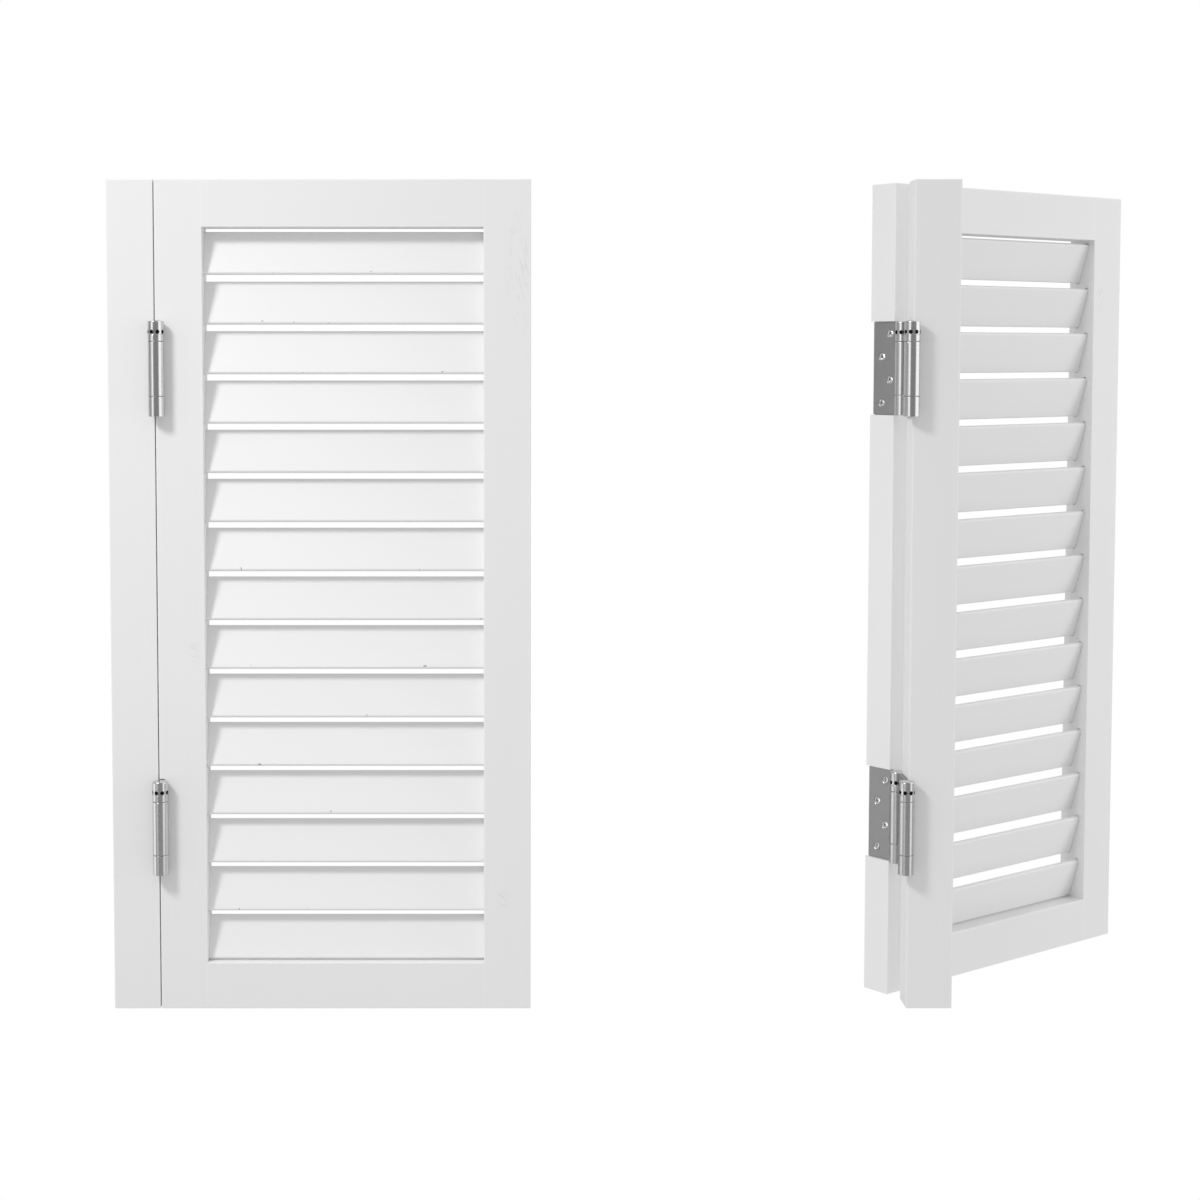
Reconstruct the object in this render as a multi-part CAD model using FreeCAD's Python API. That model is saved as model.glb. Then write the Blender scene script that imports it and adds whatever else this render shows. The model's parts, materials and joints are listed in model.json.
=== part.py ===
# A pair of louvred cafe doors for one opening: each leaf hangs from its own post on two
# double-acting spring hinges. The left leaf stands closed, the right leaf stands open at the back.
#
# Frame: +X to the right, +Y away from the front, +Z up. The origin is the centre of the left
# post's wall face. Lengths are in millimetres, angles in degrees.

import FreeCAD, Part
import math
import os

Vector = FreeCAD.Vector
AXIS_X = Vector(1, 0, 0)
AXIS_Z = Vector(0, 0, 1)

# Opening and doors
opening_width = 914.0        # from wall to wall
door_height = 900.0
door_thickness = 35.0
post_width = 50.0
stile_width = 51.0
rail_height = 51.0
seam_gap = 1.0               # between a post and its leaf
meeting_gap = 6.0            # between the two closed leaves
arris_radius = 1.0           # rounding of the long edges

# Joint of rail and stile
tenon_length = 30.0
tenon_thickness = 12.0
tenon_shoulder = 8.0         # rail height left above and below the tenon
tenon_play = 0.15
tenon_end_play = 1.0

# Slats
slat_count = 15
slat_width = 47.7
slat_thickness = 6.5
slat_edge_radius = 2.2
slat_tilt = 16.5             # the top edge leans to the back
slat_top_gap = 4.0           # between the top rail and the first slat
slat_bottom_gap = 1.3        # between the last slat and the bottom rail
housing_depth = 8.0          # of the groove in the stile that holds a slat's end
housing_play = 0.25          # beside each face of the slat
housing_rise = 0.9           # past each edge of the slat
housing_end_play = 0.5

# Hinges
hinge_height = 102.0
upper_hinge_drop = 202.0     # from the top of the door to the middle of the upper hinge
lower_hinge_rise = 202.0     # from the bottom of the door to the middle of the lower hinge
plate_thickness = 2.0
plate_gap = 0.5              # between the stacked plates of a closed hinge
plate_inset = 1.5            # from the edge of a plate to the face of the door
plate_corner_radius = 1.2
mortise_play = 0.5           # above and below a plate in the leaf's edge
barrel_radius = 8.5
barrel_wall = 1.4
barrel_stand_off = 1.0       # between a barrel and the face of the door
barrel_edge_round = 0.35     # where two lengths of a barrel meet
collar_height = 14.5
collar_round = 1.2
ring_height = 7.0            # upper knuckle of the middle plate
knuckle_height = 21.5        # lower knuckle of the middle plate
open_angle = 142.0           # how far the right leaf stands open

# Inside a barrel
spindle_radius = 3.0
spindle_cover = 4.0          # solid collar above the spindle
plug_recess = 0.8
washer_thickness = 0.5
washer_inset = 0.3           # from the washer's rim to the outside of the barrel
bush_length = 6.0
running_play = 0.05
spring_mean_radius = 5.2
spring_wire_radius = 0.9
spring_pitch = 3.0
spring_end_play = 0.3

# Holes round the collar
collar_hole_count = 8
collar_hole_radius = 2.2
collar_hole_floor = 0.6      # of metal between a hole and the spindle
collar_hole_rise = 2.9       # from the foot of the collar to the middle of a hole

# Hinge screws
screw_spacing = 25.4
screw_count = 4              # in each outer plate
screw_shift = 1.8            # of the row, from the plate's middle towards its barrel
screw_stagger = 5.8          # to either side of the row's middle
screw_length = 22.0
screw_point_length = 4.0
screw_point_radius = 0.2
screw_radius = 2.0
screw_head_radius = 4.0
screw_sink = 0.5             # of the head below the plate's face
screw_play = 0.05
cross_length = 4.6
cross_width = 1.0
cross_depth = 1.2

# Worked out
half_height = door_height / 2
half_thickness = door_thickness / 2
leaf_width = (opening_width - meeting_gap) / 2 - post_width - seam_gap
leaf_end = seam_gap + leaf_width
clear_width = leaf_width - 2 * stile_width
clear_height = door_height - 2 * rail_height
barrel_x = plate_thickness * 1.5 + plate_gap
barrel_y = half_thickness + barrel_stand_off + barrel_radius
bore_radius = barrel_radius - barrel_wall
plate_half_width = half_thickness - plate_inset
web_x = plate_thickness + plate_gap
leaf_plate_x = 2 * (plate_thickness + plate_gap)
mortise_floor = leaf_plate_x + plate_thickness
half_hinge = hinge_height / 2
ring_top = half_hinge - collar_height
ring_foot = ring_top - ring_height
knuckle_top = knuckle_height - half_hinge
head_height = plate_thickness - screw_sink
countersink_radius = screw_radius + (screw_head_radius - screw_radius) * plate_thickness / head_height
pilot_depth = screw_sink + screw_length + screw_play  # from the face of the plate
tube_top = ring_foot - washer_thickness - running_play
tube_foot = knuckle_top + washer_thickness + running_play
hinge_heights = (half_height - upper_hinge_drop, lower_hinge_rise - half_height)
right_post_x = opening_width - post_width


# ---------------------------------------------------------------- basic shapes

def block(x, y, z):
    """A box from three (low, high) pairs."""
    corner = Vector(x[0], y[0], z[0])
    return Part.makeBox(x[1] - x[0], y[1] - y[0], z[1] - z[0], corner)


def upright(radius, x, y, foot, top):
    """A vertical round bar."""
    return Part.makeCylinder(radius, top - foot, Vector(x, y, foot), AXIS_Z)


def level_bar(radius, x, y, z):
    """A round bar along X, from x[0] to x[1]."""
    return Part.makeCylinder(radius, x[1] - x[0], Vector(x[0], y, z), AXIS_X)


def rounded(solid, radius, wanted):
    """Round each edge whose middle the test wanted() accepts."""
    edges = [edge for edge in solid.Edges if wanted(edge.CenterOfMass)]
    return solid.makeFillet(radius, edges)


def near(a, b):
    return abs(a - b) < 1e-6


def barrel_length(x, y, foot, top):
    """One length of a barrel, with eased ends."""
    solid = upright(barrel_radius, x, y, foot, top)
    return rounded(solid, barrel_edge_round, lambda p: near(p.z, foot) or near(p.z, top))


def arris_cutter(along_z, x, y, z, out_x, out_y, out_z):
    """What a round-over takes off one edge: a square bar less a round one.

    The edge runs along Z through (x, y) or along X through (y, z). The out values point
    from the wood's inside to the edge."""
    r = arris_radius
    if along_z:
        square = block(sorted((x, x - out_x * r)), sorted((y, y - out_y * r)), z)
        core = upright(r, x - out_x * r, y - out_y * r, z[0], z[1])
    else:
        square = block(x, sorted((y, y - out_y * r)), sorted((z, z - out_z * r)))
        core = level_bar(r, x, y - out_y * r, z - out_z * r)
    return square.cut(core)


# ---------------------------------------------------------------- wood

def make_post(barrel_side):
    """The post, with its inner face at x = 0, for a plate whose barrel is on barrel_side."""
    post = block((-post_width, 0), (-half_thickness, half_thickness), (-half_height, half_height))
    post = rounded(post, arris_radius, lambda p: True)
    pilot = (plate_thickness - pilot_depth, 0)
    places = screw_places(barrel_side, hinge_heights)
    return post.cut([level_bar(screw_radius + screw_play, pilot, y, z) for y, z in places])


def slat_heights():
    """Heights of the slats' middles, from the top down."""
    tilt = math.radians(slat_tilt)
    flat_width = slat_width - 2 * slat_edge_radius
    flat_thickness = slat_thickness - 2 * slat_edge_radius
    rise = flat_width * math.cos(tilt) + flat_thickness * math.sin(tilt) + 2 * slat_edge_radius
    first = clear_height / 2 - slat_top_gap - rise / 2
    last = -clear_height / 2 + slat_bottom_gap + rise / 2
    step = (first - last) / (slat_count - 1)
    return [first - step * i for i in range(slat_count)]


def tilt_and_raise(solid, z):
    solid.rotate(Vector(0, 0, 0), AXIS_X, -slat_tilt)
    solid.translate(Vector(0, 0, z))
    return solid


def make_slat(z):
    """A slat whose ends stand in both stiles."""
    reach = housing_depth - housing_end_play
    x = (seam_gap + stile_width - reach, leaf_end - stile_width + reach)
    half_y = slat_thickness / 2
    half_z = slat_width / 2
    slat = block(x, (-half_y, half_y), (-half_z, half_z))
    slat = rounded(slat, slat_edge_radius, lambda p: near(abs(p.y), half_y) and near(abs(p.z), half_z))
    return tilt_and_raise(slat, z)


def make_housings(x):
    """Grooves with round ends for all the slats, over the span x."""
    half_y = slat_thickness / 2 + housing_play
    half_z = slat_width / 2 + housing_rise - half_y
    grooves = []
    for height in slat_heights():
        groove = block(x, (-half_y, half_y), (-half_z, half_z))
        ends = [level_bar(half_y, x, 0, z) for z in (-half_z, half_z)]
        grooves.append(tilt_and_raise(groove.fuse(ends), height))
    return grooves


def rail_middle(side):
    """Height of a rail's middle; side is 1 for the top rail and -1 for the bottom rail."""
    return side * (half_height - rail_height / 2)


def make_stile(outer, inner):
    """A stile whose outer edge is at x = outer and whose inner edge is at x = inner."""
    side = 1 if outer > inner else -1
    stile = block(sorted((outer, inner)), (-half_thickness, half_thickness),
                  (-half_height, half_height))
    stile = rounded(stile, arris_radius, lambda p: not near(p.x, inner))
    floor = inner + side * housing_depth
    tools = make_housings(sorted((inner, floor)))
    mortise_end = inner + side * (tenon_length + tenon_end_play)
    half_y = tenon_thickness / 2 + tenon_play
    half_z = rail_height / 2 - tenon_shoulder + tenon_play
    for level in (-1, 1):
        z = rail_middle(level)
        tools.append(block(sorted((inner, mortise_end)), (-half_y, half_y), (z - half_z, z + half_z)))
    span = (-clear_height / 2, clear_height / 2)
    for out_y in (-1, 1):
        tools.append(arris_cutter(True, inner, out_y * half_thickness, span, -side, out_y, 0))
    return stile.cut(tools)


def make_hinge_stile(barrel_side):
    """The stile with a mortise for each hinge, whose leaf plate has its barrel on barrel_side."""
    stile = make_stile(seam_gap, seam_gap + stile_width)
    tools = []
    for height in hinge_heights:
        low = height - half_hinge - mortise_play
        high = height + half_hinge + mortise_play
        tools.append(block((0, mortise_floor), (-half_thickness, half_thickness), (low, high)))
    pilot = (mortise_floor, leaf_plate_x + pilot_depth)
    for y, z in screw_places(barrel_side, hinge_heights):
        tools.append(level_bar(screw_radius + screw_play, pilot, y, z))
    return stile.cut(tools)


def make_free_stile():
    return make_stile(leaf_end, leaf_end - stile_width)


def make_rail(side):
    """A rail with a tenon at each end; side is 1 for the top rail and -1 for the bottom rail."""
    z = rail_middle(side)
    x = (seam_gap + stile_width, leaf_end - stile_width)
    low = z - rail_height / 2
    high = z + rail_height / 2
    rail = block(x, (-half_thickness, half_thickness), (low, high))
    tools = []
    for out_y in (-1, 1):
        for out_z, edge in ((-1, low), (1, high)):
            tools.append(arris_cutter(False, x, out_y * half_thickness, edge, 0, out_y, out_z))
    rail = rail.cut(tools)
    half_z = rail_height / 2 - tenon_shoulder
    tenon = block((x[0] - tenon_length, x[1] + tenon_length),
                  (-tenon_thickness / 2, tenon_thickness / 2), (z - half_z, z + half_z))
    return rail.fuse(tenon).removeSplitter()


# ---------------------------------------------------------------- hinges
# A hinge is three stacked plates and two barrels. The middle plate turns on the back barrel of
# the post's plate, and the leaf's plate turns on its front barrel. Each piece is modelled round
# the hinge's own middle height, and in the left door's place.

def screw_places(side, heights):
    """(y, z) of an outer plate's screws, on hinges at these heights.

    side is 1 where the plate's barrel is at the back; the top screw is nearest the barrel."""
    places = []
    for height in heights:
        for i in range(screw_count):
            z = screw_spacing * ((screw_count - 1) / 2 - i)
            places.append((side * (screw_shift + screw_stagger * (-1) ** i), height + z))
    return places


def make_plate(x):
    """A flat hinge plate with rounded corners that starts at x."""
    half_y = plate_half_width
    plate = block((x, x + plate_thickness), (-half_y, half_y), (-half_hinge, half_hinge))
    return rounded(plate, plate_corner_radius,
                   lambda p: near(abs(p.y), half_y) and near(abs(p.z), half_hinge))


def tongue(x, side, foot, top):
    """The strap from a plate to a barrel; side is 1 for the back barrel."""
    y = sorted((side * (plate_half_width - plate_corner_radius), side * barrel_y))
    return block((x, x + plate_thickness), y, (foot, top))


def make_outer_plate(x, side, head_face):
    """The post's or the leaf's plate, rolled into the long tube of one barrel."""
    plate = make_plate(x)
    plate = plate.fuse([tongue(x, side, tube_foot, tube_top),
                        barrel_length(barrel_x, side * barrel_y, tube_foot, tube_top)])
    tools = [upright(bore_radius, barrel_x, side * barrel_y, tube_foot, tube_top)]
    inward = 1 if head_face < x + plate_thickness / 2 else -1
    for y, z in screw_places(side, (0,)):
        tools.append(Part.makeCone(countersink_radius + screw_play, screw_radius + screw_play,
                                   plate_thickness, Vector(head_face, y, z), AXIS_X * inward))
    return plate.cut(tools)


def make_post_plate():
    return make_outer_plate(0, 1, plate_thickness)


def make_leaf_plate():
    return make_outer_plate(leaf_plate_x, -1, leaf_plate_x)


def make_web():
    """The middle plate, with an upper and a lower knuckle on each barrel."""
    solids = []
    bores = []
    for side in (-1, 1):
        for foot, top in ((ring_foot, ring_top), (-half_hinge, knuckle_top)):
            solids.append(tongue(web_x, side, foot, top))
            solids.append(barrel_length(barrel_x, side * barrel_y, foot, top))
            bores.append(upright(bore_radius, barrel_x, side * barrel_y, foot, top))
    return make_plate(web_x).fuse(solids).cut(bores)


def make_screw(face_x, inward):
    """A countersunk wood screw along X with a cross recess, at y = z = 0, sunk below the face."""
    direction = AXIS_X * inward
    shank_end = screw_length - screw_point_length
    head = Part.makeCone(screw_head_radius, screw_radius, head_height, Vector(0, 0, 0), direction)
    shank = Part.makeCylinder(screw_radius, shank_end - head_height,
                              direction * head_height, direction)
    point = Part.makeCone(screw_radius, screw_point_radius, screw_point_length,
                          direction * shank_end, direction)
    depth = sorted((0, inward * cross_depth))
    long_half = cross_length / 2
    thin_half = cross_width / 2
    cross = [block(depth, (-long_half, long_half), (-thin_half, thin_half)),
             block(depth, (-thin_half, thin_half), (-long_half, long_half))]
    screw = head.fuse([shank, point]).cut(cross)
    screw.translate(Vector(face_x + inward * screw_sink, 0, 0))
    return screw


def copies_at(solid, places):
    """One copy of a solid for each (y, z)."""
    result = []
    for y, z in places:
        copy = solid.copy()
        copy.translate(Vector(0, y, z))
        result.append(copy)
    return result


def make_spindle(y):
    return upright(spindle_radius, barrel_x, y, plug_recess - half_hinge, half_hinge - spindle_cover)


def make_plug(y):
    """The plug that fills the lower knuckle round the spindle."""
    foot = plug_recess - half_hinge
    return upright(bore_radius, barrel_x, y, foot, knuckle_top).cut(
        upright(spindle_radius, barrel_x, y, foot, knuckle_top))


def make_collar(y):
    """The tension collar: a cap with radial holes over a spigot in the upper knuckle."""
    cap = upright(barrel_radius, barrel_x, y, ring_top, half_hinge)
    cap = rounded(cap, collar_round, lambda p: near(p.z, half_hinge))
    cap = rounded(cap, barrel_edge_round, lambda p: near(p.z, ring_top))
    collar = cap.fuse(upright(bore_radius, barrel_x, y, ring_foot, ring_top))
    tools = [upright(spindle_radius, barrel_x, y, ring_foot, half_hinge - spindle_cover)]
    start = spindle_radius + collar_hole_floor
    for i in range(collar_hole_count):
        angle = 2 * math.pi * (i + 0.5) / collar_hole_count
        direction = Vector(math.sin(angle), math.cos(angle), 0)
        centre = Vector(barrel_x, y, ring_top + collar_hole_rise)
        tools.append(Part.makeCylinder(collar_hole_radius, barrel_radius,
                                       centre + direction * start, direction))
    return collar.cut(tools)


def make_bushes(y):
    """Two flanged bushes on the spindle, which run in the ends of the long tube."""
    bushes = []
    for face, into in ((ring_foot, -1), (knuckle_top, 1)):
        washer_end = face + into * washer_thickness
        sleeve_end = washer_end + into * bush_length
        washer = upright(barrel_radius - washer_inset, barrel_x, y, *sorted((face, washer_end)))
        sleeve = upright(bore_radius - running_play, barrel_x, y, *sorted((face, sleeve_end)))
        hole = upright(spindle_radius, barrel_x, y, *sorted((face, sleeve_end)))
        bushes.append(washer.fuse(sleeve).cut(hole))
    return bushes


def make_spring():
    """The coil spring of one barrel, round the Z axis."""
    room = washer_thickness + bush_length + spring_end_play + spring_wire_radius
    foot = knuckle_top + room
    top = ring_foot - room
    path = Part.makeHelix(spring_pitch, top - foot, spring_mean_radius)
    start = Vector(spring_mean_radius, 0, 0)
    section = Part.Wire([Part.makeCircle(spring_wire_radius, start, Vector(0, 1, 0))])
    spring = Part.Wire(path.Edges).makePipeShell([section], True, True)
    spring.translate(Vector(barrel_x, 0, foot))
    return spring


# ---------------------------------------------------------------- assembly

def on_both_hinges(solids):
    """Copies of hinge pieces at the upper and the lower hinge."""
    return copies_at(Part.makeCompound(solids), [(0, height) for height in hinge_heights])


def place_left(shape):
    shape.translate(Vector(post_width, 0, 0))
    return shape


def place_right_wood(shape):
    """The right door's wood mirrors the left door's."""
    return shape.mirror(Vector(right_post_x / 2, 0, 0), AXIS_X)


def place_right_hinge(shape):
    """The right door's hinges are the left door's, turned half round."""
    shape.rotate(Vector(right_post_x / 2, 0, 0), AXIS_Z, 180)
    return shape


def stand_open(shape):
    """Swing a piece of the right leaf from closed to open, about the back barrels."""
    shape.rotate(Vector(right_post_x - barrel_x, barrel_y, 0), AXIS_Z, -open_angle)
    return shape


def save(name, shape):
    shape.exportStep("parts/" + name + ".step")


def wood_pieces(post_barrel_side):
    """(name, shape, whether it is part of the leaf) for one door.

    post_barrel_side is 1 where the post plates have their barrels at the back. The leaf plates
    have theirs on the other side."""
    yield "post", make_post(post_barrel_side), False
    yield "hinge_stile", make_hinge_stile(-post_barrel_side), True
    yield "free_stile", make_free_stile(), True
    yield "top_rail", make_rail(1), True
    yield "bottom_rail", make_rail(-1), True
    for number, height in enumerate(slat_heights(), 1):
        yield "slat_%02d" % number, make_slat(height), True


def hinge_pieces():
    """(name, shape, whether it is part of the leaf) for one door."""
    axes = (-barrel_y, barrel_y)
    post_screw = make_screw(plate_thickness, -1)
    leaf_screw = make_screw(leaf_plate_x, 1)
    spring = make_spring()
    bushes = [bush for y in axes for bush in make_bushes(y)]
    yield "hinge_post_plates", on_both_hinges([make_post_plate()]), False
    yield "hinge_leaf_plates", on_both_hinges([make_leaf_plate()]), True
    yield "hinge_middle_plates", on_both_hinges([make_web()]), False
    yield "hinge_spindles", on_both_hinges([make_spindle(y) for y in axes]), False
    yield "hinge_plugs", on_both_hinges([make_plug(y) for y in axes]), False
    yield "hinge_collars", on_both_hinges([make_collar(y) for y in axes]), False
    yield "hinge_bushes", on_both_hinges(bushes), False
    yield "hinge_springs", on_both_hinges(copies_at(spring, [(y, 0) for y in axes])), False
    yield "post_plate_screws", copies_at(post_screw, screw_places(1, hinge_heights)), False
    yield "leaf_plate_screws", copies_at(leaf_screw, screw_places(-1, hinge_heights)), True


os.makedirs("parts", exist_ok=True)
for name, shape, on_leaf in wood_pieces(1):
    save("left_" + name, place_left(shape))
for name, shape, on_leaf in wood_pieces(-1):
    twin = place_right_wood(shape)
    save("right_" + name, stand_open(twin) if on_leaf else twin)
for name, solids, on_leaf in hinge_pieces():
    save("left_" + name, place_left(Part.makeCompound(solids)))
    twin = place_right_hinge(Part.makeCompound(solids))
    save("right_" + name, stand_open(twin) if on_leaf else twin)
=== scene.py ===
import json
import math

import bpy
from mathutils import Matrix, Vector


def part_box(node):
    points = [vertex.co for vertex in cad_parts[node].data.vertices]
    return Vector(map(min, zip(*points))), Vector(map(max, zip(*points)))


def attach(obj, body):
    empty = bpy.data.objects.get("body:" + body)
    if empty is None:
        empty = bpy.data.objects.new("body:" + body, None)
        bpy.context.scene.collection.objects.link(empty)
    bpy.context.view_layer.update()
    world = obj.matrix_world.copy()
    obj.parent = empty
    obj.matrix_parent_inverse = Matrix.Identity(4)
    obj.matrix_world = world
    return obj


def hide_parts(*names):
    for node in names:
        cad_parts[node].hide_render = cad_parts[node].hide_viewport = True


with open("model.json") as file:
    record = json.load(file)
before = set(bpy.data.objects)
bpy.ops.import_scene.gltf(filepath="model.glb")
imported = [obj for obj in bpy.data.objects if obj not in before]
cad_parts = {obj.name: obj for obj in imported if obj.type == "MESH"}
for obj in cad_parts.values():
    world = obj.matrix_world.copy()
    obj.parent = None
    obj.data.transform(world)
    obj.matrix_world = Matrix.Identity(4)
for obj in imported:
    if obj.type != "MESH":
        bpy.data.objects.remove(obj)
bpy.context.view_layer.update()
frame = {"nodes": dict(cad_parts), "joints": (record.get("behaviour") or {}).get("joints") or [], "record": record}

nodes = frame["nodes"]
joints = {joint["name"]: joint for joint in frame["joints"]}
mountPlaces = [Vector(mount["pos_m"]) for mount in frame["record"]["mounts"]]
openingWidth = max(place.x for place in mountPlaces)
print("frame loaded:", len(nodes), "nodes")


# ---- how the right door lies beside the left one

leafJoint = joints["right_back_swing"]
leafPivot = Vector(leafJoint["pos_m"])
openTurn = -leafJoint["axis"][2] * math.radians(leafJoint["range_deg"][0])  # about +Z, from closed to rest


def turnAbout(angle, centre):
    return Matrix.Translation(centre) @ Matrix.Rotation(angle, 4, "Z") @ Matrix.Translation(-centre)


halfRound = turnAbout(math.pi, Vector((openingWidth / 2, 0, 0)))
openLeaf = turnAbout(openTurn, leafPivot)  # closed place to the place at rest
closeLeaf = openLeaf.inverted()


# ---- node helpers, for shader and geometry trees alike

def addNode(tree, kind, inputs=None, **settings):
    node = tree.nodes.new(kind)
    for name, value in settings.items():
        setattr(node, name, value)
    for name, value in (inputs or {}).items():
        if isinstance(value, bpy.types.NodeSocket):
            tree.links.new(value, node.inputs[name])
        else:
            node.inputs[name].default_value = value
    return node


def calc(tree, operation, *values):
    return addNode(tree, "ShaderNodeMath", dict(enumerate(values)), operation=operation).outputs[0]


def vectorCalc(tree, operation, *values):
    node = addNode(tree, "ShaderNodeVectorMath", dict(enumerate(values)), operation=operation)
    return node.outputs["Value" if operation in ("LENGTH", "DISTANCE") else "Vector"]


def axes(tree, vector):
    return addNode(tree, "ShaderNodeSeparateXYZ", {0: vector}).outputs


def joinAxes(tree, x, y, z):
    return addNode(tree, "ShaderNodeCombineXYZ", {0: x, 1: y, 2: z}).outputs[0]


def ramp(tree, value, low, high, toLow=0.0, toHigh=1.0):
    return addNode(tree, "ShaderNodeMapRange", {"Value": value, "From Min": low, "From Max": high,
                                                "To Min": toLow, "To Max": toHigh},
                   interpolation_type="SMOOTHSTEP").outputs[0]


def noise(tree, place, scale, detail=2.0, roughness=0.5, distortion=0.0):
    return addNode(tree, "ShaderNodeTexNoise", {
        "Vector": place, "Scale": scale, "Detail": detail, "Roughness": roughness,
        "Distortion": distortion}).outputs["Fac"]


socketKinds = {"float": "NodeSocketFloat", "vector": "NodeSocketVector", "int": "NodeSocketInt",
               "geometry": "NodeSocketGeometry", "material": "NodeSocketMaterial"}


def newTree(name, treeKind, inputs, outputs):
    # inputs: {label: (kind, default)}, outputs: {label: kind}
    tree = bpy.data.node_groups.new(name, treeKind)
    for label, (kind, default) in inputs.items():
        socket = tree.interface.new_socket(label, in_out="INPUT", socket_type=socketKinds[kind])
        if default is not None:
            socket.default_value = default
    for label, kind in outputs.items():
        tree.interface.new_socket(label, in_out="OUTPUT", socket_type=socketKinds[kind])
    return tree, addNode(tree, "NodeGroupInput").outputs, addNode(tree, "NodeGroupOutput")


def placeGroup(tree, group, inputs):
    return addNode(tree, "ShaderNodeGroup", inputs, node_tree=group).outputs


def mixShaders(tree, share, first, second):
    return addNode(tree, "ShaderNodeMixShader", {0: share, 1: first, 2: second}).outputs[0]


# ---- surface effects that several finishes share

effects = {
    "broadScale": 0.16,        # broad brush strokes beside the fine ones
    "broadShare": 0.45,        # of the change of tone; clouds make the rest
    "cloudScale": 4.5,
    "stippleScale": 900.0,
    "coatRoughness": 0.4,
    "strokeHeight": 0.55,
    "stippleHeight": 0.3,
    "arrisSolid": 0.35,        # share of an arris's reach that shows it in full
    "rubSolid": 0.2,           # share of a spot's spread where its marks are strongest
    "rubScale": (320.0, 200.0, 60.0),
    "rubRange": (0.50, 0.70),  # noise at which a mark begins, and at which it is full
    "barrelFade": (1.03, 1.1),     # in radii, from barrel to plate
    "holeFade": 0.97,          # share of a hole's start within which its painted shade is full
    "brushRange": (0.25, 0.75),
    "brushTone": (0.92, 1.06),
}


def makePaintCoat():
    tree, given, end = newTree("paintCoat", "ShaderNodeTree",
                               {"Place": ("vector", None), "Stroke": ("vector", (1, 1, 1)),
                                "Tone Change": ("float", 0.02), "Gloss Change": ("float", 0.1)},
                               {"Tone": "float", "Roughness": "float", "Height": "float"})
    strokePlace = vectorCalc(tree, "MULTIPLY", given["Place"], given["Stroke"])
    stroke = noise(tree, strokePlace, 1.0, detail=4.0, roughness=0.6)
    broadPlace = vectorCalc(tree, "SCALE", strokePlace)
    broadPlace.node.inputs["Scale"].default_value = effects["broadScale"]
    broad = noise(tree, broadPlace, 1.0)
    cloud = noise(tree, given["Place"], effects["cloudScale"], detail=3.0)
    stipple = noise(tree, given["Place"], effects["stippleScale"], roughness=0.6)

    def blend(first, firstShare, second, secondShare):
        return calc(tree, "ADD", calc(tree, "MULTIPLY", first, firstShare),
                    calc(tree, "MULTIPLY", second, secondShare))

    def around(middle, value, change):
        return calc(tree, "MULTIPLY_ADD", calc(tree, "SUBTRACT", value, 0.5), change, middle)

    mixed = blend(broad, effects["broadShare"], cloud, 1.0 - effects["broadShare"])
    tone = around(1.0, mixed, given["Tone Change"])
    roughness = around(effects["coatRoughness"], stroke, given["Gloss Change"])
    height = blend(stroke, effects["strokeHeight"], stipple, effects["stippleHeight"])
    for name, value in {"Tone": tone, "Roughness": roughness, "Height": height}.items():
        tree.links.new(value, end.inputs[name])
    return tree


def makeArrisMask():
    # 1 on the long edges of a board, 0 away from them
    tree, given, end = newTree("arrisMask", "ShaderNodeTree",
                               {"Place": ("vector", None), "Centre": ("vector", (0, 0, 0)),
                                "Half Size": ("vector", (1, 1, 1)), "Reach": ("float", 0.003)},
                               {"Mask": "float"})
    away = vectorCalc(tree, "ABSOLUTE", vectorCalc(tree, "SUBTRACT", given["Place"], given["Centre"]))
    gap = axes(tree, vectorCalc(tree, "SUBTRACT", given["Half Size"], away))
    small = calc(tree, "MINIMUM", gap["X"], gap["Y"])
    large = calc(tree, "MAXIMUM", gap["X"], gap["Y"])
    second = calc(tree, "MAXIMUM", small, calc(tree, "MINIMUM", large, gap["Z"]))
    near = ramp(tree, calc(tree, "DIVIDE", second, given["Reach"]), effects["arrisSolid"], 1.0, 1.0, 0.0)
    tree.links.new(near, end.inputs["Mask"])
    return tree


def makeRubMarks():
    # thin dark scuffs that gather round one spot
    tree, given, end = newTree("rubMarks", "ShaderNodeTree",
                               {"Place": ("vector", None), "Centre": ("vector", (0, 0, 0)),
                                "Spread": ("vector", (1, 1, 1)), "Slant": ("float", 0.5)},
                               {"Mask": "float"})
    offset = vectorCalc(tree, "SUBTRACT", given["Place"], given["Centre"])
    distance = vectorCalc(tree, "LENGTH", vectorCalc(tree, "DIVIDE", offset, given["Spread"]))
    fade = ramp(tree, distance, effects["rubSolid"], 1.0, 1.0, 0.0)
    turned = addNode(tree, "ShaderNodeVectorRotate", {"Vector": offset, "Angle": given["Slant"]},
                     rotation_type="Y_AXIS").outputs[0]
    stretched = vectorCalc(tree, "MULTIPLY", turned, effects["rubScale"])
    lines = ramp(tree, noise(tree, stretched, 1.0, detail=3.0, distortion=0.6), *effects["rubRange"])
    tree.links.new(calc(tree, "MULTIPLY", fade, lines), end.inputs["Mask"])
    return tree


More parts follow.
